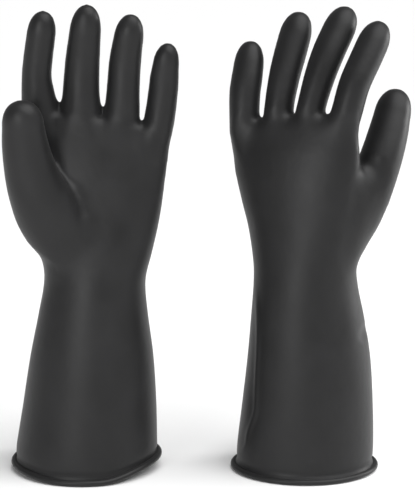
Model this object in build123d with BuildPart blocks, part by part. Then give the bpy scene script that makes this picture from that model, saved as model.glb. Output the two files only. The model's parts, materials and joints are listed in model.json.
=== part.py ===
"""A pair of heavy rubber gauntlet gloves that stand on their rolled cuffs.

Millimetres, +Z up, +X across the pair, and -Y is the side that glove 1 turns its palm to. The
origin is the bottom centre of the pair's box. Each glove is one dipped rubber skin, cut at its
flex lines into a sleeve, a palm and two lengths of every digit, with the rolled edge apart.
"""

from build123d import *

import math
import os
from dataclasses import dataclass

WALL = 1.4  # thickness of the dipped rubber
CUT_GAP = 0.6  # width of the cut at each flex line
BEAD_RADIUS = 2.7  # the rolled edge's section
BEAD_FLAT = 0.35  # how far the standing bead is pressed flat
BEAD_SEAT = 0.1  # how far the roll's top is cut flat, where the sleeve's wall grows out of it
WRIST_HEIGHT = 149.0  # where the sleeve ends and the hand begins
SLEEVE_FOOT = 2 * BEAD_RADIUS - BEAD_FLAT - BEAD_SEAT
ROOT_DEPTH = 24.0  # how far a finger's root reaches down into the palm
ROOT_TAPER = 0.5  # how much narrower a root is at its lower end
KNUCKLE_SHARE = 0.4  # overlap of a digit's two lengths before they are cut, in knuckle radii


@dataclass(frozen=True)
class Digit:
    """One finger stall: the middles and the radii of its root, its knuckle and its round tip."""

    name: str
    root: tuple
    knuckle: tuple
    tip: tuple
    radii: tuple


@dataclass(frozen=True)
class Oval:
    """An oval across the glove: its height, its middle, and its half width and half depth."""

    height: float
    middle: tuple
    half: tuple


@dataclass(frozen=True)
class Ball:
    """The ball of the thumb: a swelling from the wrist, over its middle, to the thumb's root."""

    foot: tuple
    middle: tuple
    radii: tuple


@dataclass(frozen=True)
class Glove:
    """One glove, measured from at. turn is how far its palm is turned round +Z, in degrees."""

    name: str
    at: tuple
    turn: float
    sleeve: tuple
    palm: tuple
    ball: Ball
    thumb: Digit
    fingers: tuple


GLOVE_1 = Glove(
    name="glove_1",
    at=(-96.3, 0.0),
    turn=0.0,
    sleeve=(
        Oval(SLEEVE_FOOT, (0.5, 3.0), (53.0, 51.0)),
        Oval(21.0, (1.6, 2.5), (52.2, 49.0)),
        Oval(53.0, (3.8, 2.0), (49.8, 45.5)),
        Oval(85.0, (5.7, 1.0), (46.0, 41.0)),
        Oval(116.0, (6.9, 0.5), (41.2, 36.0)),
        Oval(WRIST_HEIGHT, (8.7, 0.0), (37.8, 32.0)),
    ),
    palm=(
        Oval(WRIST_HEIGHT, (8.7, 0.0), (37.8, 32.0)),
        Oval(172.0, (8.8, 0.0), (42.0, 28.0)),
        Oval(200.0, (8.5, 0.0), (49.0, 24.5)),
        Oval(230.0, (9.5, 0.0), (54.0, 21.0)),
        Oval(256.0, (12.0, 0.0), (55.0, 18.5)),
        Oval(272.0, (13.5, 0.0), (52.0, 14.5)),
    ),
    ball=Ball(foot=(-6.0, -9.0, 166.0), middle=(-28.5, -24.0, 203.0), radii=(19.0, 20.6)),
    thumb=Digit(
        "thumb", (-34.0, -33.0, 238.0), (-36.0, -39.5, 258.0), (-38.0, -45.0, 277.5),
        (14.8, 13.4, 11.8),
    ),
    fingers=(
        Digit("index", (-31.0, 0.0, 282.0), (-31.5, -3.0, 312.0), (-26.0, -9.0, 341.5),
              (11.8, 11.3, 9.3)),
        Digit("middle", (0.7, 0.0, 281.0), (1.5, -3.0, 313.0), (6.3, -10.0, 346.0),
              (14.0, 13.0, 9.8)),
        Digit("ring", (30.8, 0.0, 281.0), (32.5, -3.0, 311.0), (37.5, -9.0, 339.5),
              (13.2, 11.8, 9.6)),
        Digit("little", (58.0, 0.0, 272.0), (60.8, -2.0, 294.0), (63.8, -6.0, 318.0),
              (11.0, 10.6, 8.6)),
    ),
)

GLOVE_2 = Glove(
    name="glove_2",
    at=(72.7, 0.0),
    turn=-25.0,
    sleeve=(
        Oval(SLEEVE_FOOT, (-0.5, 0.0), (52.8, 44.0)),
        Oval(21.0, (0.2, 0.0), (51.6, 44.0)),
        Oval(53.0, (1.0, 0.0), (48.8, 42.5)),
        Oval(85.0, (1.8, 0.0), (46.2, 39.5)),
        Oval(116.0, (0.7, 0.0), (43.0, 36.0)),
        Oval(WRIST_HEIGHT, (-1.5, 0.0), (39.0, 33.0)),
    ),
    palm=(
        Oval(WRIST_HEIGHT, (-1.5, 0.0), (39.0, 33.0)),
        Oval(172.0, (-2.5, 0.0), (43.0, 29.5)),
        Oval(200.0, (-4.5, 0.0), (47.5, 26.5)),
        Oval(230.0, (-7.0, 0.0), (52.5, 23.5)),
        Oval(256.0, (-10.0, 0.0), (54.0, 20.0)),
        Oval(272.0, (-11.0, 0.0), (51.0, 15.0)),
    ),
    ball=Ball(foot=(18.0, -1.0, 166.0), middle=(46.0, 1.0, 206.0), radii=(19.0, 17.8)),
    thumb=Digit(
        "thumb", (58.5, 5.0, 240.0), (62.0, 11.0, 259.0), (65.6, 17.0, 280.0), (14.3, 13.6, 12.6)
    ),
    fingers=(
        Digit("index", (27.5, -14.0, 280.0), (37.0, -8.0, 309.0), (48.5, 2.0, 331.5),
              (11.4, 11.8, 10.6)),
        Digit("middle", (2.8, -4.5, 281.0), (9.5, 2.0, 309.0), (22.3, 12.0, 341.5),
              (10.8, 12.2, 11.3)),
        Digit("ring", (-22.0, 6.0, 281.0), (-18.0, 12.0, 308.0), (-9.0, 22.0, 338.0),
              (11.3, 12.0, 10.6)),
        Digit("little", (-47.3, 16.0, 274.0), (-47.3, 20.0, 297.0), (-43.7, 27.0, 318.0),
              (11.4, 11.6, 10.0)),
    ),
)


def in_place(glove, point):
    """A point of the glove in the pair's frame."""
    return Vector(*point) + Vector(*glove.at, 0)


def oval_skin(glove, ovals, turn, inset, lowered):
    """A solid through the ovals, smaller all round by inset, with its top oval lowered."""
    with BuildPart() as skin:
        for oval in ovals:
            height = oval.height - (lowered if oval is ovals[-1] else 0.0)
            middle = (glove.at[0] + oval.middle[0], glove.at[1] + oval.middle[1])
            with BuildSketch(Plane.XY.offset(height)):
                with Locations(Location((*middle, 0), (0, 0, turn))):
                    Ellipse(oval.half[0] - inset, oval.half[1] - inset)
        loft()
    return skin.part


def limb(start, end, start_way, end_way, start_radius, end_radius):
    """A round length whose two ends face their own ways."""
    with BuildPart() as length:
        with BuildSketch(Plane(origin=start, z_dir=start_way)):
            Circle(start_radius)
        with BuildSketch(Plane(origin=end, z_dir=end_way)):
            Circle(end_radius)
        loft()
    return length.part


def finger_root(glove, finger, inset, over):
    """A finger's root, from the depth of the palm up to its flex line, aimed at the wrist."""
    root = in_place(glove, finger.root)
    out = (in_place(glove, finger.knuckle) - root).normalized()
    wrist = in_place(glove, (*glove.palm[0].middle, WRIST_HEIGHT))
    down = (wrist - root).normalized()
    radius = finger.radii[0] - inset
    foot = root + down * ROOT_DEPTH
    return limb(foot, root + out * over, -down, out, radius - ROOT_TAPER, radius)


def thumb_root(glove, inset, over):
    """The ball of the thumb, from the wrist up to the thumb's flex line."""
    foot, middle = in_place(glove, glove.ball.foot), in_place(glove, glove.ball.middle)
    root = in_place(glove, glove.thumb.root)
    out = (in_place(glove, glove.thumb.knuckle) - root).normalized()
    foot_radius, middle_radius = (radius - inset for radius in glove.ball.radii)
    rise, climb = (middle - foot).normalized(), (root - middle).normalized()
    lower = limb(foot, middle, rise, rise, foot_radius, middle_radius)
    top_radius = glove.thumb.radii[0] - inset
    upper = limb(middle, root + out * over, climb, out, middle_radius, top_radius)
    with BuildPart() as ball:
        add(lower)
        add(upper)
        with Locations(middle):
            Sphere(middle_radius)
    return ball.part


def palm_block(glove, inset, over):
    """The palm with the ball of the thumb and the four roots, made smaller by inset."""
    body = oval_skin(glove, glove.palm, glove.turn, inset, inset)
    roots = [finger_root(glove, finger, inset, over) for finger in glove.fingers]
    roots.append(thumb_root(glove, inset, over))
    with BuildPart() as block:
        add(body)
        add(roots)
    return block.part


def palm_shell(glove):
    """The hollow palm, open at the wrist and at the five roots."""
    outside = palm_block(glove, 0.0, 0.0)
    inside = palm_block(glove, WALL, WALL)
    with BuildPart() as palm:
        add(outside)
        add(inside, mode=Mode.SUBTRACT)
        split(bisect_by=Plane.XY.offset(WRIST_HEIGHT + CUT_GAP), keep=Keep.TOP)
    return palm


def open_stall(start, end, foot, top):
    """A hollow length of a finger stall, open at both its ends."""
    frame = Plane(origin=start, z_dir=end - start)
    length = (end - start).length
    with BuildPart() as piece:
        with BuildSketch(Plane(origin=start, x_dir=frame.x_dir, z_dir=-frame.y_dir)):
            Polygon(
                (foot - WALL, 0), (foot, 0), (top, length), (top - WALL, length), align=None
            )
        revolve(axis=Axis(start, frame.z_dir))
    return piece.part


def round_stall(start, end, foot, top):
    """A hollow length of a finger stall, open at its foot, with a round tip over its end."""
    frame = Plane(origin=start, z_dir=end - start)
    length = (end - start).length
    lean = math.asin((foot - top) / length)
    half = (math.radians(90) + lean) / 2
    inner = top - WALL
    with BuildPart() as piece:
        with BuildSketch(Plane(origin=start, x_dir=frame.x_dir, z_dir=-frame.y_dir)):
            with BuildLine():
                outer_arc = ThreePointArc(
                    (top * math.cos(lean), length + top * math.sin(lean)),
                    (top * math.cos(half), length + top * math.sin(half)),
                    (0, length + top),
                )
                inner_arc = ThreePointArc(
                    (0, length + inner),
                    (inner * math.cos(half), length + inner * math.sin(half)),
                    (inner * math.cos(lean), length + inner * math.sin(lean)),
                )
                Line(outer_arc @ 1, inner_arc @ 0)
                wall_foot = Line(inner_arc @ 1, (foot - WALL, 0))
                Line(wall_foot @ 1, (foot, 0))
                Line((foot, 0), outer_arc @ 0)
            make_face()
        revolve(axis=Axis(start, frame.z_dir))
    return piece.part


def digit_lengths(glove, digit):
    """The two lengths of one digit, cut apart across the knuckle's flex line."""
    root = in_place(glove, digit.root)
    knuckle = in_place(glove, digit.knuckle)
    tip = in_place(glove, digit.tip)
    root_radius, knuckle_radius, tip_radius = digit.radii
    lower_way = (knuckle - root).normalized()
    upper_way = (tip - knuckle).normalized()
    bend = Plane(origin=knuckle, z_dir=lower_way + upper_way)
    past = knuckle_radius * KNUCKLE_SHARE
    lower = open_stall(root + lower_way * CUT_GAP, knuckle + lower_way * past,
                       root_radius, knuckle_radius)
    upper = round_stall(knuckle - upper_way * past, tip, knuckle_radius, tip_radius)
    with BuildPart() as base:
        add(lower)
        split(bisect_by=bend.offset(-CUT_GAP / 2), keep=Keep.BOTTOM)
    with BuildPart() as end:
        add(upper)
        split(bisect_by=bend.offset(CUT_GAP / 2), keep=Keep.TOP)
    return base, end


def cuff_bead(glove):
    """The rolled edge that the glove stands on, flat below and where the sleeve's wall meets it."""
    foot = glove.sleeve[0]
    middle = (glove.at[0] + foot.middle[0], glove.at[1] + foot.middle[1])
    with BuildSketch(Plane.XY.offset(BEAD_RADIUS - BEAD_FLAT)) as rim:
        with Locations(middle):
            Ellipse(foot.half[0] - WALL / 2, foot.half[1] - WALL / 2)
    path = rim.sketch.face().outer_wire()
    with BuildPart() as bead:
        with BuildSketch(Plane(origin=path @ 0, z_dir=path % 0)):
            Circle(BEAD_RADIUS)
        sweep(path=path)
        split(bisect_by=Plane.XY, keep=Keep.TOP)
        split(bisect_by=Plane.XY.offset(SLEEVE_FOOT), keep=Keep.BOTTOM)
    return bead


def sleeve_shell(glove):
    """The gauntlet's sleeve, open at both ends."""
    outside = oval_skin(glove, glove.sleeve, 0.0, 0.0, 0.0)
    inside = oval_skin(glove, glove.sleeve, 0.0, WALL, 0.0)
    with BuildPart() as sleeve:
        add(outside)
        add(inside, mode=Mode.SUBTRACT)
    return sleeve


def write(piece, name):
    """Labels one finished piece and writes it as its own node."""
    piece.part.label = name
    export_step(piece.part, f"parts/{name}.step")


def make_glove(glove):
    """Makes and writes every piece of one glove."""
    write(cuff_bead(glove), f"{glove.name}_cuff_bead")
    write(sleeve_shell(glove), f"{glove.name}_sleeve")
    write(palm_shell(glove), f"{glove.name}_palm")
    for digit in (glove.thumb, *glove.fingers):
        base, end = digit_lengths(glove, digit)
        write(base, f"{glove.name}_{digit.name}_base")
        write(end, f"{glove.name}_{digit.name}_tip")


os.makedirs("parts", exist_ok=True)
make_glove(GLOVE_1)
make_glove(GLOVE_2)
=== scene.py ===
"""A pair of heavy black rubber gauntlet gloves that stand on their rolled cuffs.

Each glove is one dipped skin. It is lofted as a sleeve with a hand and five stalls, merged into
one surface, and then parted along its flex lines.
Sizes are in millimetres and are measured from the middle of the glove's own cuff, on the floor.
"""

import json
import logging
import math
from collections.abc import Iterable, Sequence
from dataclasses import dataclass, field
from enum import Enum
from functools import cached_property
from itertools import pairwise

import bmesh
import bpy
from mathutils import Matrix, Vector
from mathutils.kdtree import KDTree


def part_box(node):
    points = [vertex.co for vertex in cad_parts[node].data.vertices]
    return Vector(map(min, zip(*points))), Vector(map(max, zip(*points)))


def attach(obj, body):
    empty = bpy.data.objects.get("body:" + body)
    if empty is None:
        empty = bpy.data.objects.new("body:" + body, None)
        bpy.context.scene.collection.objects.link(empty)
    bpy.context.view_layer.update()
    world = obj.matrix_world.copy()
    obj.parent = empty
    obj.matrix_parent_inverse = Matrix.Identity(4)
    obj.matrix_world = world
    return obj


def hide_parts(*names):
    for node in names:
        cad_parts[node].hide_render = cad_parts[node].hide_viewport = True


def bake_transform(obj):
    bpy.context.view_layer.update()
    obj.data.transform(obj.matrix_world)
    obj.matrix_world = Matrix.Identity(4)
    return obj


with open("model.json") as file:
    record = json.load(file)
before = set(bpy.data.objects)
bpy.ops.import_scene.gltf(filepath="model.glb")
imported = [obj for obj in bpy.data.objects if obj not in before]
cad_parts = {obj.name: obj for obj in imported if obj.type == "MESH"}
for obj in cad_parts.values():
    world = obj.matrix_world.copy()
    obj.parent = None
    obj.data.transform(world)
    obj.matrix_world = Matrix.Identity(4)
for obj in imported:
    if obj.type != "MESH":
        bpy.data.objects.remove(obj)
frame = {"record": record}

LOG = logging.getLogger("gloves")
MM = 0.001
UP = Vector((0.0, 0.0, 1.0))

VOXEL = 1.6 * MM  # the merged skin's facet size
WALL = 1.2 * MM  # the rubber's thickness
AROUND = 64  # sides of a lofted ring
RING_STEP = 5.0 * MM  # spacing of the rings along a limb
LIMB_DOME_RINGS = 10
CROWN_RINGS = 8
NEARLY_CLOSED = 0.995  # the share of a dome's rise at which its last ring closes it
SAME_PLACE = 0.02 * MM

TURN_FROM, TURN_RUN = 100.0, 90.0  # the heights over which a hand turns on its sleeve
TILT_FROM, TILT_RUN = 200.0, 60.0  # the heights over which its rings tilt with the knuckles
CROWN_WIDTH_KEPT = 0.25  # how much of its width the crown keeps to the end
EVEN_ROUNDS = 6  # smoothing that takes the merge's steps off the whole skin
SOFT_STAGES = (1.0, 0.85, 0.7)  # shares of its reach at which a soft place is smoothed
SETTLED = 30.0  # the height up to which the rim's shape reaches
WRIST_SEAM_BELOW = 24.0  # the seam under the hand, which stays clear of the wrist's bend
WRIST_BEND = (-19.0, 17.0)  # the wrist's bend, from the hand's lower end
MARKS = 24  # points on a stall's middle line

BEAD_STEPS = 160  # rings around the rolled edge
BEAD_SIDES = 16


class Length(Enum):
    """The two lengths of a stall."""

    BASE = "base"
    TIP = "tip"


def linear(code: str) -> tuple[float, float, float, float]:
    """Turns an sRGB hex colour into the linear colour that shaders take.

    Args:
        code: Six hex digits, with or without a leading #.

    Returns:
        Red, green, blue and alpha.
    """
    code = code.lstrip("#")
    parts = [int(code[i:i + 2], 16) / 255 for i in (0, 2, 4)]
    red, green, blue = (p / 12.92 if p <= 0.04045 else ((p + 0.055) / 1.055) ** 2.4 for p in parts)
    return red, green, blue, 1.0


def ease(share: float) -> float:
    """A smooth step from 0 to 1."""
    share = min(max(share, 0.0), 1.0)
    return share * share * (3.0 - 2.0 * share)


def placed(middle: Vector, x_way: Vector, y_way: Vector, z_way: Vector) -> Matrix:
    """The matrix that puts a shape at a place.

    Args:
        middle: The place of its origin.
        x_way: The way and length of its x axis.
        y_way: The way and length of its y axis.
        z_way: The way and length of its z axis.

    Returns:
        The matrix.
    """
    place = Matrix((x_way, y_way, z_way)).transposed().to_4x4()
    place.translation = middle
    return place


def bell(distance: float, reach: float) -> float:
    """A smooth hump: 1 at no distance, 0 at the reach and beyond."""
    return 1.0 - ease(distance / reach)


@dataclass(frozen=True)
class Oval:
    """A level ring of the sleeve or the hand, in millimetres.

    Its left and right are where it shows from the front, so turning the hand keeps its outline.
    """

    height: float
    left: float
    right: float
    depth: float
    middle: float = 0.0

    def spread(self, turn: float) -> float:
        """The half width along the oval's own length once it is turned.

        Args:
            turn: The angle in radians.

        Returns:
            The half width in millimetres.
        """
        half = (self.right - self.left) / 2
        side = self.depth * math.sin(turn)
        return math.sqrt(half * half - side * side) / math.cos(turn)


@dataclass(frozen=True)
class Station:
    """A ring of a stall, square to its middle line: its middle, half width and half depth."""

    x: float
    y: float
    z: float
    width: float
    depth: float


@dataclass(frozen=True)
class Dome:
    """A limb's closed end: how far it rises, and how blunt it is (2 is an ellipse)."""

    rise: float
    blunt: float

    def rings(self, count: int) -> list[tuple[float, float]]:
        """The rise in metres and the shrunken size of each of its rings, from the foot up."""
        heights = [math.sin(math.pi / 2 * k / count) * NEARLY_CLOSED for k in range(1, count + 1)]
        return [(h * self.rise * MM, (1.0 - h ** self.blunt) ** (1.0 / self.blunt)) for h in heights]


@dataclass(frozen=True)
class Dent:
    """A soft hollow, or with a negative depth a swelling, at a place on the skin."""

    at: tuple[float, float, float]
    reach: tuple[float, float, float]
    depth: float


@dataclass(frozen=True)
class Soft:
    """A place where the skin runs softly from one shape into another."""

    at: tuple[float, float, float]
    reach: float
    rounds: int


@dataclass(frozen=True)
class Fold:
    """A thin raised line on the front of a sleeve: its x and height at points on its way up."""

    line: tuple[tuple[float, float], ...]
    width: float
    rise: float

    def lift(self, place: Vector) -> float:
        """How far it raises the skin.

        Args:
            place: A place on the skin, in the glove's own millimetres.

        Returns:
            The rise in millimetres.
        """
        if place.y > 0.0:
            return 0.0
        for (x0, low), (x1, high) in pairwise(self.line):
            if low <= place.z <= high:
                share = (place.z - low) / (high - low)
                gap = place.x - (x0 + (x1 - x0) * ease(share))
                ends = ease((place.z - self.line[0][1]) / 12.0) * ease((self.line[-1][1] - place.z) / 25.0)
                return self.rise * ends * math.exp(-(gap / self.width) ** 2)
        return 0.0


def curve(points: Sequence[Vector], share: float) -> Vector:
    """A point on the smooth curve through the points, whatever their number of values.

    Args:
        points: The points that it passes through.
        share: The place on it, from 0 at the first point to 1 at the last.

    Returns:
        The values at that place.
    """
    lengths = [0.0]
    for a, b in pairwise(points):
        lengths.append(lengths[-1] + max((b - a).length, 1e-9))
    place = share * lengths[-1]
    i = max(k for k in range(len(points) - 1) if lengths[k] <= place or k == 0)
    t = (place - lengths[i]) / (lengths[i + 1] - lengths[i])
    a, b = points[i], points[i + 1]
    run = lengths[i + 1] - lengths[i]
    before, after = points[max(i - 1, 0)], points[min(i + 2, len(points) - 1)]
    out = (b - before) * (run / (lengths[i + 1] - lengths[max(i - 1, 0)]))
    into = (after - a) * (run / (lengths[min(i + 2, len(points) - 1)] - lengths[i]))
    t2, t3 = t * t, t * t * t
    return a * (2 * t3 - 3 * t2 + 1) + out * (t3 - 2 * t2 + t) + b * (3 * t2 - 2 * t3) + into * (t3 - t2)


class Loft:
    """A closed skin through rings that are added from its foot to its top."""

    def __init__(self, mesh: bmesh.types.BMesh) -> None:
        """Starts a loft in a mesh."""
        self.mesh = mesh
        self.last: list[bmesh.types.BMEdge] = []

    def ring(self, middle: Vector, across: Vector, along: Vector, width: float, depth: float) -> None:
        """Adds a ring and joins it to the ring before it.

        Args:
            middle: The ring's middle, in metres.
            across: The way of its half width.
            along: The limb's way, which the ring is square to.
            width: Half width in metres.
            depth: Half depth in metres.
        """
        along = along.normalized()
        across = (across - along * across.dot(along)).normalized()
        deep = along.cross(across)
        place = placed(middle, across * width, deep * depth, along)
        made = bmesh.ops.create_circle(self.mesh, cap_ends=not self.last, segments=AROUND,
                                       radius=1.0, matrix=place)
        edges = list({edge for vert in made["verts"] for edge in vert.link_edges})
        if self.last:
            bmesh.ops.bridge_loops(self.mesh, edges=self.last + edges)
        self.last = edges

    def close(self) -> None:
        """Closes the top."""
        bmesh.ops.contextual_create(self.mesh, geom=self.last)


def add_limb(mesh: bmesh.types.BMesh, stations: Sequence[Vector], across: Vector, dome: Dome) -> None:
    """Lofts a limb through its stations and rounds its top.

    Args:
        mesh: The mesh that gets the limb.
        stations: Middle x, y, z, half width and half depth of each station, in metres.
        across: The way of the half widths.
        dome: The closed end.
    """
    loft = Loft(mesh)
    total = sum((b.to_3d() - a.to_3d()).length for a, b in pairwise(stations))
    count = max(int(total / RING_STEP), 2)
    nudge = 0.5 / count
    for k in range(count + 1):
        share = k / count
        values = curve(stations, share)
        way = curve(stations, min(share + nudge, 1.0)) - curve(stations, max(share - nudge, 0.0))
        loft.ring(values.to_3d(), across, way.to_3d(), values[3], values[4])
    end = curve(stations, 1.0)
    way = way.to_3d().normalized()
    for rise, shrink in dome.rings(LIMB_DOME_RINGS):
        loft.ring(end.to_3d() + way * rise, across, way, end[3] * shrink, end[4] * shrink)
    loft.close()


def merged(mesh: bmesh.types.BMesh, name: str) -> bmesh.types.BMesh:
    """Merges overlapping closed skins into one even surface.

    Args:
        mesh: The overlapping skins, which are used up.
        name: A name for the working object.

    Returns:
        The merged skin.
    """
    data = bpy.data.meshes.new(name)
    mesh.to_mesh(data)
    mesh.free()
    work = bpy.data.objects.new(name, data)
    bpy.context.collection.objects.link(work)
    remesh = work.modifiers.new("merge", "REMESH")
    remesh.mode = "VOXEL"
    remesh.voxel_size = VOXEL
    bpy.context.view_layer.update()
    seen = work.evaluated_get(bpy.context.evaluated_depsgraph_get())
    skin = bmesh.new()
    skin.from_mesh(seen.to_mesh())
    seen.to_mesh_clear()
    bpy.data.objects.remove(work)
    bpy.data.meshes.remove(data)
    return skin


def soften(mesh: bmesh.types.BMesh, verts: list[bmesh.types.BMVert], rounds: int) -> None:
    """Smooths a part of a skin.

    Args:
        mesh: The skin.
        verts: The points that move.
        rounds: How often they are smoothed.
    """
    for _ in range(rounds):
        bmesh.ops.smooth_vert(mesh, verts=verts, factor=0.5, use_axis_x=True, use_axis_y=True,
                              use_axis_z=True)


@dataclass(frozen=True)
class Stall:
    """A stall, or a pad of the hand: its stations from inside the palm to its round end."""

    name: str
    stations: tuple[Station, ...]
    dome: Dome

    def points(self, origin: Vector) -> list[Vector]:
        """The stations in metres, in the row frame."""
        return [Vector((s.x * MM + origin.x, s.y * MM + origin.y, s.z * MM, s.width * MM, s.depth * MM))
                for s in self.stations]


@dataclass(frozen=True)
class Seams:
    """Where a stall is parted and where it bends, worked out from its two hinges."""

    root: Vector
    way: Vector
    knuckle: Vector
    upper_way: Vector

    @property
    def run(self) -> float:
        """The distance from the root's hinge to the knuckle's."""
        return (self.knuckle - self.root).length

    def root_bend(self) -> tuple[Vector, Vector]:
        """Start and end of the bend at the root. The lower seam is at its start."""
        start = self.root - self.way * MM
        return start, start + self.way * min(17 * MM, 0.55 * self.run)

    def knuckle_bend(self) -> tuple[Vector, Vector]:
        """Start and end of the bend at the knuckle."""
        reach = self.upper_way * min(9 * MM, 0.4 * self.run)
        return self.knuckle - reach, self.knuckle + reach

    def middle_seam(self) -> Vector:
        """A point on the seam between the two lengths, where neither of them bends."""
        return (self.root_bend()[1] + self.knuckle_bend()[0]) / 2


@dataclass(frozen=True)
class DippedRubber:
    """Natural rubber, built up on a former by dipping: dense, matt and slightly silky."""

    name: str = "dipped_natural_rubber"
    body: str = "0B0B0B"
    worn: str = "1E1E1F"
    roughness: float = 0.46
    grain_mm: float = 1.1
    cloud_mm: float = 26.0
    ripple_mm: float = 7.0

    def material(self) -> bpy.types.Material:
        """Makes the node material.

        Returns:
            The material.
        """
        material = bpy.data.materials.new(self.name)
        material.use_nodes = True
        tree = material.node_tree
        tree.nodes.clear()
        where = node(tree, "ShaderNodeTexCoord")
        place = where.outputs["Object"]
        # A former's wash and a light bloom leave broad, faint clouds in the black.
        clouds = node(tree, "ShaderNodeTexNoise", {"Scale": 1 / (self.cloud_mm * MM), "Detail": 3.0},
                      {"Vector": place})
        colour = node(tree, "ShaderNodeMix", {6: linear(self.body), 7: linear(self.worn)},
                      {0: clouds.outputs["Fac"]}, data_type="RGBA")
        polish = node(tree, "ShaderNodeMapRange",
                      {"To Min": self.roughness - 0.07, "To Max": self.roughness + 0.1},
                      {"Value": clouds.outputs["Fac"]})
        # The grain is finer on the real skin: it is drawn as coarse as it needs to show.
        grain = node(tree, "ShaderNodeTexNoise", {"Scale": 1 / (self.grain_mm * MM), "Detail": 2.0},
                     {"Vector": place})
        # Liquid rubber runs as it sets, so the wall's thickness ripples a little.
        ripple = node(tree, "ShaderNodeTexNoise", {"Scale": 1 / (self.ripple_mm * MM), "Detail": 1.0},
                      {"Vector": place})
        soft = node(tree, "ShaderNodeBump", {"Strength": 0.25, "Distance": 0.6 * MM},
                    {"Height": ripple.outputs["Fac"]})
        relief = node(tree, "ShaderNodeBump", {"Strength": 0.2, "Distance": 0.1 * MM},
                      {"Height": grain.outputs["Fac"], "Normal": soft.outputs["Normal"]})
        shader = node(tree, "ShaderNodeBsdfPrincipled",
                      {"IOR": 1.5, "Specular IOR Level": 0.32, "Sheen Weight": 0.05, "Sheen Roughness": 0.5},
                      {"Base Color": colour.outputs[2], "Roughness": polish.outputs["Result"],
                       "Normal": relief.outputs["Normal"]})
        node(tree, "ShaderNodeOutputMaterial", {}, {"Surface": shader.outputs["BSDF"]})
        return material


def node(tree: bpy.types.NodeTree, kind: str, settings: dict | None = None,
         links: dict | None = None, **options: object) -> bpy.types.Node:
    """Adds a node with its settings and links.

    Args:
        tree: The material's tree.
        kind: The node's type.
        settings: Values of its input sockets, by name or number.
        links: Output sockets that feed its inputs, by name or number.
        **options: Properties of the node itself.

    Returns:
        The node.
    """
    made = tree.nodes.new(kind)
    for option, value in options.items():
        setattr(made, option, value)
    for socket, value in (settings or {}).items():
        made.inputs[socket].default_value = value
    for socket, source in (links or {}).items():
        tree.links.new(source, made.inputs[socket])
    return made


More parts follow.
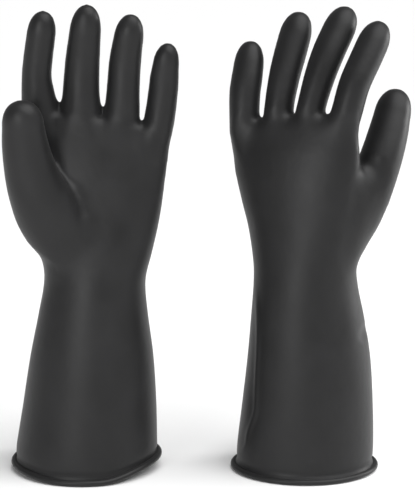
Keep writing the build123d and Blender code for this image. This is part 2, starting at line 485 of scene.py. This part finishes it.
@dataclass
class Glove:
    """One glove: its sleeve and hand, its stalls, its rolled cuff and how it is worn in.

    Its ovals, stalls, pads, dents, folds and soft places are measured from the middle of its foot.
    """

    name: str
    turn: float
    ovals: tuple[Oval, ...]
    crown: Dome
    slope: float
    stalls: tuple[Stall, ...]
    bead: float
    bead_out: float
    lift: tuple[float, float]
    flare: float
    groove: float
    cuff: tuple[float, float]
    pads: tuple[Stall, ...] = ()
    dents: tuple[Dent, ...] = ()
    folds: tuple[Fold, ...] = ()
    softs: tuple[Soft, ...] = ()
    finish: bpy.types.Material | None = None
    pieces: list[bpy.types.Object] = field(default_factory=list)

    @cached_property
    def origin(self) -> Vector:
        """The place on the floor that the glove is measured from."""
        low, high = (Vector(corner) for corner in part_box(f"{self.name}_cuff_bead"))
        return Vector(((low.x + high.x) / 2 - self.cuff[0] * MM,
                       (low.y + high.y) / 2 - self.cuff[1] * MM, 0.0))

    @property
    def across(self) -> Vector:
        """The way of the hand's width."""
        return Vector((math.cos(self.turn), math.sin(self.turn), 0.0))

    def turn_at(self, height: float) -> float:
        """How far the glove is turned at a height in millimetres."""
        return self.turn * ease((height - TURN_FROM) / TURN_RUN)

    def body_stations(self) -> list[Vector]:
        """The sleeve and the hand as stations in metres."""
        origin = self.origin
        return [Vector((
            (oval.left + oval.right) / 2 * MM + origin.x,
            oval.middle * MM + origin.y,
            oval.height * MM,
            oval.spread(self.turn_at(oval.height)) * MM,
            oval.depth * MM,
        )) for oval in self.ovals]

    def raw_skin(self) -> bmesh.types.BMesh:
        """The sleeve, the hand and the stalls as overlapping closed lofts."""
        mesh = bmesh.new()
        self.add_body(mesh)
        for limb in self.stalls + self.pads:
            add_limb(mesh, limb.points(self.origin), self.across, limb.dome)
        return mesh

    def add_body(self, mesh: bmesh.types.BMesh) -> None:
        """Lofts the sleeve and the hand, whose rings turn and tilt on their way up."""
        loft = Loft(mesh)
        stations = self.body_stations()
        count = int((stations[-1].z - stations[0].z) / RING_STEP)
        for k in range(count + 1):
            self.body_ring(loft, curve(stations, k / count))
        for rise, shrink in self.crown.rings(CROWN_RINGS):
            self.body_ring(loft, curve(stations, 1.0), rise, shrink)
        loft.close()

    def body_ring(self, loft: Loft, values: Vector, rise: float = 0.0, shrink: float = 1.0) -> None:
        """Adds one ring of the sleeve or hand, turned and tilted for its height.

        Args:
            loft: The body's loft.
            values: Middle x, y, z, half width and half depth, in metres.
            rise: How far the ring stands above its middle, in the crown.
            shrink: The share of its depth that it keeps there.
        """
        height = values.z / MM
        turn = self.turn_at(height)
        tilt = self.slope * ease((height - TILT_FROM) / TILT_RUN)
        across = Vector((math.cos(turn), math.sin(turn), tilt))
        up = across.cross(Vector((math.sin(turn), -math.cos(turn), 0.0))) * -1.0
        up = up if up.z > 0 else up * -1.0
        middle = values.to_3d() + up.normalized() * rise
        width = values[3] * (CROWN_WIDTH_KEPT + (1.0 - CROWN_WIDTH_KEPT) * shrink)
        loft.ring(middle, across, up, width, values[4] * shrink)

    def skin(self) -> bmesh.types.BMesh:
        """The whole outer skin, open at the cuff, with its dents."""
        mesh = merged(self.raw_skin(), f"{self.name}_merge")
        soften(mesh, mesh.verts[:], EVEN_ROUNDS)
        origin = self.origin
        for soft in self.softs:
            spot = Vector(soft.at) * MM + origin
            verts = mesh.verts[:]
            for share in SOFT_STAGES:
                verts = [vert for vert in verts if (vert.co - spot).length < share * soft.reach * MM]
                soften(mesh, verts, soft.rounds // len(SOFT_STAGES))
        rim = self.bead * MM
        geometry = mesh.verts[:] + mesh.edges[:] + mesh.faces[:]
        bmesh.ops.bisect_plane(mesh, geom=geometry, dist=SAME_PLACE, plane_co=(0, 0, rim),
                               plane_no=(0, 0, 1), clear_inner=True)
        for vert in mesh.verts:
            self.settle(vert, origin)
        mesh.normal_update()
        return mesh

    def settle(self, vert: bmesh.types.BMVert, origin: Vector) -> None:
        """Moves one point of the skin for the dents, folds, groove, flare and lifted rim.

        Args:
            vert: The point.
            origin: The place that the glove is measured from.
        """
        place = (vert.co - origin) / MM
        out = Vector((vert.normal.x, vert.normal.y, 0.0))
        for dent in self.dents:
            gap = Vector((a - b) / c for a, b, c in zip(place, dent.at, dent.reach))
            if gap.length < 1.0:
                vert.co -= vert.normal * (dent.depth * MM * bell(gap.length, 1.0))
        for fold in self.folds:
            vert.co += vert.normal * (fold.lift(place) * MM)
        if place.z < SETTLED:
            groove = math.exp(-((place.z - self.bead * 2 - 2.2) / 2.4) ** 2)
            flare = ease((9.0 - place.z) / 8.0)
            vert.co += out * ((self.flare * flare - self.groove * groove) * MM)
            vert.co.z += self.rim_lift(place) * MM * bell(place.z, SETTLED)

    def rim_lift(self, place: Vector) -> float:
        """How far the standing rim lifts off the floor.

        Args:
            place: A place near the rim, in the glove's own millimetres.

        Returns:
            The lift in millimetres.
        """
        low, high = self.lift
        side = place.x / self.ovals[0].right
        return (high if side > 0 else low) * ease((abs(side) - 0.25) / 0.8)

    def seams(self, stall: Stall) -> Seams:
        """The seams and bends of a stall.

        Args:
            stall: The stall.

        Returns:
            What its two hinges say about them.
        """
        joints = {joint["name"]: joint for joint in frame["record"]["behaviour"]["joints"]}
        root = Vector(joints[f"{self.name}_{stall.name}_base_flex"]["pos_m"])
        knuckle = Vector(joints[f"{self.name}_{stall.name}_tip_flex"]["pos_m"])
        points = [point.to_3d() for point in stall.points(self.origin)]
        upper = (points[-1] - points[-2]).normalized()
        return Seams(root, (knuckle - root).normalized(), knuckle, upper)

    def part_skin(self, mesh: bmesh.types.BMesh) -> dict[str, int]:
        """Cuts the skin along its seams and labels every face with its piece.

        Args:
            mesh: The whole skin.

        Returns:
            The label of each piece's name.
        """
        label = mesh.faces.layers.int.new("piece")
        names = {"sleeve": 0, "palm": 1}
        cut(mesh, mesh.faces[:], Vector((0.0, 0.0, self.wrist_seam)), UP)
        for face in mesh.faces:
            face[label] = 0 if face.calc_center_median().z < self.wrist_seam else 1
        tree, owners = self.lines()
        for stall in self.stalls:
            seams = self.seams(stall)
            ends = ((seams.root_bend()[0], seams.way), (seams.middle_seam(), seams.upper_way))
            for length, (at, way) in zip(Length, ends):
                number = names.setdefault(f"{stall.name}_{length.value}", len(names))
                mine = self.beyond(mesh, at - way * 3 * MM, way, tree, owners, stall.name)
                close = [face for face in mine if (face.calc_center_median() - at).dot(way) < 3 * MM]
                cut(mesh, close, at, way)
                for face in self.beyond(mesh, at, way, tree, owners, stall.name):
                    face[label] = number
        return names

    @cached_property
    def wrist_seam(self) -> float:
        """The height of the seam between the sleeve and the hand, below the wrist's bend."""
        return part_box(f"{self.name}_palm")[0][2] - WRIST_SEAM_BELOW * MM

    def lines(self) -> tuple[KDTree, list[str]]:
        """Points along the middles of the stalls, and whose each point is.

        Returns:
            A tree of the points, and the name of the stall of each.
        """
        marks: list[tuple[Vector, str]] = []
        for stall in self.stalls:
            points = stall.points(self.origin)
            way = (points[-1].to_3d() - points[-2].to_3d()).normalized()
            marks += [(curve(points, k / MARKS).to_3d(), stall.name) for k in range(MARKS + 1)]
            rise = way * stall.dome.rise * MM
            marks += [(points[-1].to_3d() + rise * k / 6, stall.name) for k in range(1, 5)]
        tree = KDTree(len(marks))
        for number, (mark, _) in enumerate(marks):
            tree.insert(mark, number)
        tree.balance()
        return tree, [name for _, name in marks]

    @staticmethod
    def beyond(mesh: bmesh.types.BMesh, at: Vector, way: Vector, tree: KDTree, owners: Sequence[str],
               name: str) -> list[bmesh.types.BMFace]:
        """The faces of a stall that lie past a plane.

        Args:
            mesh: The whole skin.
            at: A point on the plane.
            way: The plane's normal.
            tree: Points along the middles of the stalls.
            owners: Whose each of those points is.
            name: The stall.

        Returns:
            The faces whose nearest middle line is that stall's.
        """
        found = []
        for face in mesh.faces:
            middle = face.verts[0].co
            if (middle - at).dot(way) < -2 * MM or (middle - at).length > 75 * MM:
                continue
            middle = face.calc_center_median()
            if (middle - at).dot(way) > 0 and owners[tree.find(middle)[1]] == name:
                found.append(face)
        return found

    def build(self) -> None:
        """Makes the skin's pieces and the rolled cuff, ties the sleeve and the cuff to the sleeve's body,
        and dresses them all.
        """
        mesh = self.skin()
        names = self.part_skin(mesh)
        mesh.normal_update()
        mesh.verts.ensure_lookup_table()
        tree = KDTree(len(mesh.verts))
        normals = [vert.normal.copy() for vert in mesh.verts]
        for vert in mesh.verts:
            tree.insert(vert.co, vert.index)
        tree.balance()
        for key, number in names.items():
            piece = mesh.copy()
            layer = piece.faces.layers.int["piece"]
            others = [face for face in piece.faces if face[layer] != number]
            bmesh.ops.delete(piece, geom=others, context="FACES")
            made = shell(piece, f"{self.name}_{key}_skin", tree, normals)
            self.hang(made, key)
        mesh.free()
        self.roll()

    def hang(self, piece: bpy.types.Object, key: str) -> None:
        """Ties the sleeve's piece of the skin to the sleeve's body, and dresses every piece.

        Args:
            piece: The piece.
            key: Its name within the glove.
        """
        if key == "sleeve":
            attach(piece, f"{self.name}_sleeve")
        elif key == "palm":
            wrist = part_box(f"{self.name}_palm")[0][2]
            start, end = (wrist + reach * MM for reach in WRIST_BEND)
            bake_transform(piece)
        else:
            stall_name, length = key.split("_")
            stall = next(s for s in self.stalls if s.name == stall_name)
            seams = self.seams(stall)
            if length == Length.BASE.value:
                start, end = seams.root_bend()
            else:
                start, end = seams.knuckle_bend()
            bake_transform(piece)
        self.dress(piece, f"{self.name}_{key}")

    def dress(self, piece: bpy.types.Object, replaced: str) -> None:
        """Gives a piece its rubber, and puts it in the place of a CAD node.

        Args:
            piece: The piece.
            replaced: The node.
        """
        piece.data.materials.append(self.finish)
        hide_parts(replaced)
        self.pieces.append(piece)
        LOG.info("%s: %d faces", piece.name, len(piece.data.polygons))

    def roll(self) -> None:
        """Makes the rolled edge that the glove stands on."""
        mesh = bmesh.new()
        origin = self.origin
        rim = self.ovals[1]
        radius = self.bead * MM
        out = (self.bead_out + self.flare) * MM
        half = ((rim.right - rim.left) / 2 * MM + out, rim.depth * MM + out)
        middle = Vector((origin.x + (rim.left + rim.right) / 2 * MM, origin.y + rim.middle * MM, radius))
        loops = []
        for k in range(BEAD_STEPS):
            angle = 2 * math.pi * k / BEAD_STEPS
            spoke = Vector((half[0] * math.cos(angle), half[1] * math.sin(angle), 0.0))
            along = Vector((-half[0] * math.sin(angle), half[1] * math.cos(angle), 0.0)).normalized()
            at = middle + spoke
            at.z += self.rim_lift((at - origin) / MM) * MM
            side = along.cross(UP).normalized()
            place = placed(at, side, UP, along)
            made = bmesh.ops.create_circle(mesh, segments=BEAD_SIDES, radius=radius, matrix=place)
            loops.append(list({edge for vert in made["verts"] for edge in vert.link_edges}))
        for a, b in zip(loops, loops[1:] + loops[:1]):
            bmesh.ops.bridge_loops(mesh, edges=a + b)
        bmesh.ops.recalc_face_normals(mesh, faces=mesh.faces[:])
        piece = finished(mesh, f"{self.name}_cuff_roll")
        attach(piece, f"{self.name}_sleeve")
        self.dress(piece, f"{self.name}_cuff_bead")


def cut(mesh: bmesh.types.BMesh, faces: Iterable[bmesh.types.BMFace], at: Vector, way: Vector) -> None:
    """Cuts some faces of a skin along a plane, and keeps both sides.

    Args:
        mesh: The skin.
        faces: The faces that may be cut.
        at: A point on the plane.
        way: The plane's normal.
    """
    faces = list(faces)
    edges = list({edge for face in faces for edge in face.edges})
    verts = list({vert for face in faces for vert in face.verts})
    bmesh.ops.bisect_plane(mesh, geom=verts + edges + faces, dist=SAME_PLACE, plane_co=at, plane_no=way)


def shell(mesh: bmesh.types.BMesh, name: str, tree: KDTree, normals: Sequence[Vector]) -> bpy.types.Object:
    """Gives a piece of skin its wall, shaded as one with the skin that it was cut from.

    Args:
        mesh: The piece's outer skin, which is used up.
        name: The piece's name.
        tree: The whole skin's points.
        normals: The whole skin's normals at those points.

    Returns:
        The finished object.
    """
    bmesh.ops.recalc_face_normals(mesh, faces=mesh.faces[:])
    bmesh.ops.solidify(mesh, geom=mesh.faces[:], thickness=WALL)
    mesh.verts.index_update()
    outer = {}
    for vert in mesh.verts:
        _, index, gap = tree.find(vert.co)
        if gap < SAME_PLACE:
            outer[vert.index] = normals[index]
    for face in mesh.faces:
        inside = sum(vert.index not in outer for vert in face.verts)
        if 0 < inside < len(face.verts):
            face.smooth = False
            for edge in face.edges:
                edge.smooth = False
        else:
            face.smooth = True
    data = bpy.data.meshes.new(name)
    mesh.to_mesh(data)
    mesh.free()
    custom = []
    zero = (0.0, 0.0, 0.0)
    for polygon in data.polygons:
        skin = all(index in outer for index in polygon.vertices)
        custom.extend(outer[index] if skin else zero for index in polygon.vertices)
    data.normals_split_custom_set(custom)
    piece = bpy.data.objects.new(name, data)
    bpy.context.collection.objects.link(piece)
    return piece


def finished(mesh: bmesh.types.BMesh, name: str) -> bpy.types.Object:
    """Turns a mesh into a smooth-shaded object at the origin.

    Args:
        mesh: The mesh, which is used up.
        name: The object's name.

    Returns:
        The object.
    """
    for face in mesh.faces:
        face.smooth = True
    data = bpy.data.meshes.new(name)
    mesh.to_mesh(data)
    mesh.free()
    piece = bpy.data.objects.new(name, data)
    bpy.context.collection.objects.link(piece)
    return piece


@dataclass
class Studio:
    """A pale floor, soft light and the camera."""

    sideways: float
    distance: float = 1300.0
    height: float = 420.0
    aim: float = 172.0
    lens: float = 127.2
    ambient: float = 0.2

    def build(self) -> None:
        """Makes the camera, the lights, the world and the floor."""
        scene = bpy.context.scene
        camera = bpy.data.cameras.new("camera")
        camera.sensor_fit = "VERTICAL"
        camera.sensor_height = 36.0
        camera.lens = self.lens
        eye = bpy.data.objects.new("camera", camera)
        eye.location = Vector((self.sideways, -self.distance, self.height)) * MM
        target = Vector((self.sideways, 0.0, self.aim)) * MM
        eye.rotation_euler = (target - eye.location).to_track_quat("-Z", "Y").to_euler()
        scene.collection.objects.link(eye)
        scene.camera = eye
        scene.view_settings.view_transform = "Standard"
        self.sun((0.5, -0.4, 1.0), 3.3)
        self.lamp("side", (1.3, 0.35, 0.45), 0.5, 9.0)
        self.lamp("front", (-0.5, -1.1, 0.38), 0.35, 4.5)
        world = bpy.data.worlds.new("studio")
        world.use_nodes = True
        tree = world.node_tree
        tree.nodes.clear()
        # The wall behind is white, and only part of its light falls on the gloves.
        seen = node(tree, "ShaderNodeLightPath")
        strength = node(tree, "ShaderNodeMapRange", {"To Min": self.ambient, "To Max": 1.0},
                        {"Value": seen.outputs["Is Camera Ray"]})
        white = node(tree, "ShaderNodeBackground", {"Color": linear("FFFFFF")},
                     {"Strength": strength.outputs["Result"]})
        node(tree, "ShaderNodeOutputWorld", {}, {"Surface": white.outputs["Background"]})
        scene.world = world
        mesh = bmesh.new()
        bmesh.ops.create_grid(mesh, x_segments=1, y_segments=1, size=30.0)
        floor = finished(mesh, "floor")
        # Matt white card.
        material = bpy.data.materials.new("floor")
        material.use_nodes = True
        shader = material.node_tree.nodes["Principled BSDF"]
        shader.inputs["Base Color"].default_value = linear("FBFBFB")
        shader.inputs["Roughness"].default_value = 0.9
        floor.data.materials.append(material)

    @staticmethod
    def sun(place: tuple[float, float, float], power: float) -> None:
        """Adds the main light, as wide and soft as a large window.

        Args:
            place: A point that the light comes from.
            power: Its strength.
        """
        light = bpy.data.lights.new("main", "SUN")
        light.angle = math.radians(70.0)
        light.energy = power
        lamp = bpy.data.objects.new("main", light)
        lamp.rotation_euler = (-Vector(place)).to_track_quat("-Z", "Y").to_euler()
        bpy.context.scene.collection.objects.link(lamp)

    @staticmethod
    def lamp(name: str, place: tuple[float, float, float], size: float, power: float) -> None:
        """Adds a soft square lamp that faces the gloves.

        Args:
            name: The lamp's name.
            place: Its place, in metres.
            size: Its side, in metres.
            power: Its power in watts.
        """
        light = bpy.data.lights.new(name, "AREA")
        light.size = size
        light.energy = power
        lamp = bpy.data.objects.new(name, light)
        lamp.location = place
        way = Vector((0.0, 0.0, 0.17)) - lamp.location
        lamp.rotation_euler = way.to_track_quat("-Z", "Y").to_euler()
        bpy.context.scene.collection.objects.link(lamp)


def palm_glove(finish: bpy.types.Material) -> Glove:
    """The glove that turns its palm to the front, with its thumb standing before it."""
    return Glove(
        name="glove_1",
        turn=0.0,
        ovals=(
            Oval(-8.0, -54.8, 54.8, 51.5, 3.0),
            Oval(4.0, -54.0, 55.1, 51.0, 3.0),
            Oval(18.0, -53.2, 55.2, 50.0, 2.5),
            Oval(50.0, -47.8, 54.8, 46.0, 2.0),
            Oval(88.0, -41.5, 52.8, 41.0, 1.0),
            Oval(125.0, -33.8, 48.4, 35.0, 0.0),
            Oval(148.0, -29.8, 47.2, 31.5, -0.5),
            Oval(168.0, -32.3, 52.0, 29.0, -1.0),
            Oval(187.0, -36.5, 56.5, 27.0, -1.0),
            Oval(205.0, -40.5, 59.8, 25.0, -1.0),
            Oval(230.0, -43.5, 62.8, 21.0, -1.0),
            Oval(250.0, -44.0, 65.5, 16.5, -1.0),
            Oval(263.0, -43.5, 67.2, 13.0, -1.0),
        ),
        crown=Dome(10.0, 2.4),
        slope=-0.14,
        stalls=(
            Stall("thumb", (
                Station(2.0, -5.0, 158.0, 17.0, 17.0),
                Station(-11.8, -12.0, 180.0, 24.0, 20.0),
                Station(-23.8, -20.0, 203.0, 25.2, 21.0),
                Station(-32.0, -27.0, 222.0, 21.4, 19.5),
                Station(-36.6, -33.0, 242.0, 18.6, 16.5),
                Station(-38.6, -38.0, 258.0, 16.8, 14.5),
                Station(-39.0, -41.5, 269.0, 15.4, 13.3),
            ), Dome(20.0, 2.25)),
            Stall("index", (
                Station(-27.0, -1.0, 250.0, 13.5, 13.0),
                Station(-30.0, 0.0, 272.0, 14.3, 12.5),
                Station(-31.8, -1.0, 289.0, 12.5, 11.8),
                Station(-32.5, -2.0, 301.0, 11.2, 11.2),
                Station(-31.2, -4.0, 313.5, 11.0, 10.8),
                Station(-28.2, -8.0, 332.0, 10.8, 9.8),
            ), Dome(19.0, 2.2)),
            Stall("middle", (
                Station(0.5, -1.0, 250.0, 14.0, 13.5),
                Station(0.0, 0.0, 274.0, 15.4, 13.3),
                Station(0.2, -1.0, 289.5, 13.9, 12.8),
                Station(1.7, -3.0, 313.0, 12.9, 12.0),
                Station(4.0, -8.0, 332.0, 11.9, 10.8),
            ), Dome(24.0, 2.2)),
            Stall("ring", (
                Station(27.5, -1.0, 250.0, 13.0, 13.0),
                Station(30.3, 0.0, 274.0, 13.4, 12.6),
                Station(31.3, -1.0, 289.5, 12.5, 12.0),
                Station(33.2, -3.0, 313.0, 12.0, 11.2),
                Station(35.8, -7.0, 329.0, 11.2, 10.0),
            ), Dome(20.0, 2.1)),
            Stall("little", (
                Station(50.5, -1.0, 240.0, 12.0, 12.5),
                Station(57.5, 0.0, 266.0, 11.6, 11.6),
                Station(61.0, -2.0, 289.5, 11.2, 10.8),
                Station(62.2, -4.0, 302.0, 10.8, 10.0),
                Station(63.1, -5.5, 309.0, 10.0, 9.3),
            ), Dome(18.5, 2.1)),
        ),
        bead=2.4,
        bead_out=0.9,
        lift=(3.0, 8.0),
        flare=0.3,
        groove=0.8,
        cuff=(0.5, 3.0),
        dents=(
            Dent((-15.5, -14.0, 267.0), (9.0, 12.0, 14.0), 0.8),
            Dent((15.8, -14.0, 267.0), (9.0, 12.0, 14.0), 0.8),
            Dent((44.5, -13.0, 259.0), (9.0, 12.0, 14.0), 0.7),
            Dent((16.0, -25.0, 205.0), (30.0, 20.0, 34.0), 2.0),
        ),
        softs=(
            Soft((-29.0, -13.0, 261.0), 16.0, 45),
            Soft((0.0, -14.0, 263.0), 17.0, 45),
            Soft((29.0, -13.0, 263.0), 17.0, 45),
            Soft((54.0, -12.0, 254.0), 15.0, 45),
            Soft((-29.0, 13.0, 261.0), 16.0, 45),
            Soft((0.0, 14.0, 263.0), 17.0, 45),
            Soft((29.0, 13.0, 263.0), 17.0, 45),
            Soft((54.0, 12.0, 254.0), 15.0, 45),
            Soft((2.0, -28.0, 176.0), 26.0, 60),
            Soft((6.0, -28.0, 190.0), 16.0, 60),
            Soft((-2.0, -22.0, 215.0), 14.0, 30),
            Soft((-42.0, -4.0, 200.0), 20.0, 45),
            Soft((-31.0, -4.0, 166.0), 22.0, 90),
            Soft((-46.0, -10.0, 235.0), 14.0, 30),
        ),
        finish=finish,
    )


def back_glove(finish: bpy.types.Material) -> Glove:
    """The glove that turns its back to the front."""
    return Glove(
        name="glove_2",
        turn=math.radians(-25.0),
        ovals=(
            Oval(-8.0, -52.5, 51.5, 44.0, 0.0),
            Oval(4.0, -52.5, 52.0, 44.0, 0.0),
            Oval(18.0, -52.2, 52.8, 43.5, 0.0),
            Oval(50.0, -48.6, 52.0, 42.0, 0.0),
            Oval(88.0, -44.5, 49.4, 39.0, 0.0),
            Oval(119.0, -42.0, 44.2, 35.5, 0.0),
            Oval(144.0, -40.2, 38.8, 33.0, 0.0),
            Oval(160.0, -40.3, 37.4, 31.0, 0.0),
            Oval(187.0, -44.2, 38.8, 28.0, 0.0),
            Oval(205.0, -48.8, 39.5, 25.5, 0.0),
            Oval(230.0, -54.1, 38.5, 21.5, 0.0),
            Oval(250.0, -57.4, 37.0, 17.0, 0.0),
            Oval(262.0, -58.2, 37.0, 13.5, 0.0),
        ),
        crown=Dome(10.0, 2.4),
        slope=0.10,
        stalls=(
            Stall("thumb", (
                Station(12.0, -2.0, 160.0, 18.0, 17.0),
                Station(26.0, -2.0, 180.0, 20.0, 18.0),
                Station(35.5, -2.0, 195.0, 19.8, 18.0),
                Station(44.6, -1.0, 214.0, 18.2, 17.2),
                Station(55.0, 3.5, 240.0, 16.3, 15.5),
                Station(61.0, 10.0, 259.0, 15.2, 14.0),
                Station(63.8, 14.5, 270.0, 14.2, 12.8),
            ), Dome(22.0, 2.2)),
            Stall("index", (
                Station(18.0, -11.0, 250.0, 12.5, 13.0),
                Station(26.4, -15.0, 273.0, 11.6, 12.4),
                Station(32.8, -13.5, 296.6, 11.7, 11.8),
                Station(41.4, -7.5, 315.0, 12.1, 11.3),
                Station(46.0, -3.5, 324.5, 12.1, 11.2),
            ), Dome(20.0, 2.2)),
            Stall("middle", (
                Station(-3.0, -4.0, 250.0, 12.5, 13.0),
                Station(1.8, -3.5, 278.0, 10.6, 12.6),
                Station(8.2, 0.0, 301.4, 11.5, 12.2),
                Station(14.8, 4.0, 319.0, 12.3, 12.0),
                Station(22.0, 9.5, 334.0, 12.4, 11.5),
            ), Dome(20.5, 2.2)),
            Stall("ring", (
                Station(-22.5, 4.0, 250.0, 12.5, 13.0),
                Station(-21.5, 7.0, 277.0, 11.0, 12.4),
                Station(-17.4, 12.5, 300.5, 11.8, 12.0),
                Station(-13.0, 17.5, 317.0, 12.4, 11.6),
                Station(-9.8, 20.5, 328.5, 12.4, 11.1),
            ), Dome(20.5, 2.2)),
            Stall("little", (
                Station(-42.0, 12.0, 232.0, 9.0, 9.0),
                Station(-46.3, 14.5, 252.0, 11.3, 11.5),
                Station(-47.2, 15.5, 270.0, 11.4, 12.0),
                Station(-46.8, 18.0, 288.0, 12.0, 11.4),
                Station(-45.0, 21.0, 300.0, 12.0, 11.0),
                Station(-44.2, 23.0, 306.0, 11.7, 10.6),
            ), Dome(21.0, 2.2)),
        ),
        pads=(
            Stall("thumb_root", (
                Station(24.0, -9.0, 158.0, 12.0, 14.0),
                Station(32.0, -11.0, 187.0, 14.0, 15.0),
                Station(38.5, -10.0, 217.0, 13.0, 13.0),
            ), Dome(15.0, 2.0)),
        ),
        bead=2.2,
        bead_out=0.4,
        lift=(0.5, 0.8),
        flare=2.0,
        groove=0.6,
        cuff=(-0.5, 0.0),
        dents=(
            Dent((45.0, -16.0, 110.0), (9.0, 22.0, 9.0), 1.6),
            Dent((3.0, -43.0, 13.0), (8.0, 12.0, 6.0), 1.0),
        ),
        folds=(
            Fold(((-50.0, 12.0), (-45.0, 26.0), (-38.5, 56.0), (-37.0, 110.0), (-38.0, 150.0)), 1.6, 0.8),
        ),
        softs=(
            Soft((38.0, -12.0, 172.0), 24.0, 60),
            Soft((41.0, -14.0, 196.0), 24.0, 60),
            Soft((43.0, -14.0, 220.0), 20.0, 60),
            Soft((42.0, -4.0, 238.0), 14.0, 30),
            Soft((47.0, -8.0, 230.0), 15.0, 75),
            Soft((45.0, -16.0, 226.0), 14.0, 75),
            Soft((-52.0, 10.0, 243.0), 16.0, 45),
            Soft((36.0, 16.0, 180.0), 26.0, 60),
            Soft((38.0, 16.0, 212.0), 22.0, 60),
            Soft((-44.0, 0.0, 258.0), 16.0, 45),
            Soft((-20.0, -8.0, 263.0), 17.0, 45),
            Soft((0.0, -17.0, 263.0), 17.0, 45),
            Soft((24.0, -26.0, 260.0), 17.0, 45),
            Soft((-36.0, 30.0, 258.0), 17.0, 45),
            Soft((-14.0, 20.0, 263.0), 17.0, 45),
            Soft((7.0, 10.0, 263.0), 17.0, 45),
            Soft((30.0, 0.0, 260.0), 15.0, 45),
        ),
        finish=finish,
    )


def main() -> None:
    """Builds the studio and the two gloves."""
    logging.basicConfig(level=logging.INFO, format="%(name)s: %(message)s")
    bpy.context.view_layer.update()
    rubber = DippedRubber().material()
    pair = (palm_glove(rubber), back_glove(rubber))
    Studio(sideways=pair[0].origin.x / MM + 94.0).build()
    for glove in pair:
        glove.build()
        LOG.info("%s has %d pieces", glove.name, len(glove.pieces))


if __name__ == "__main__":
    main()
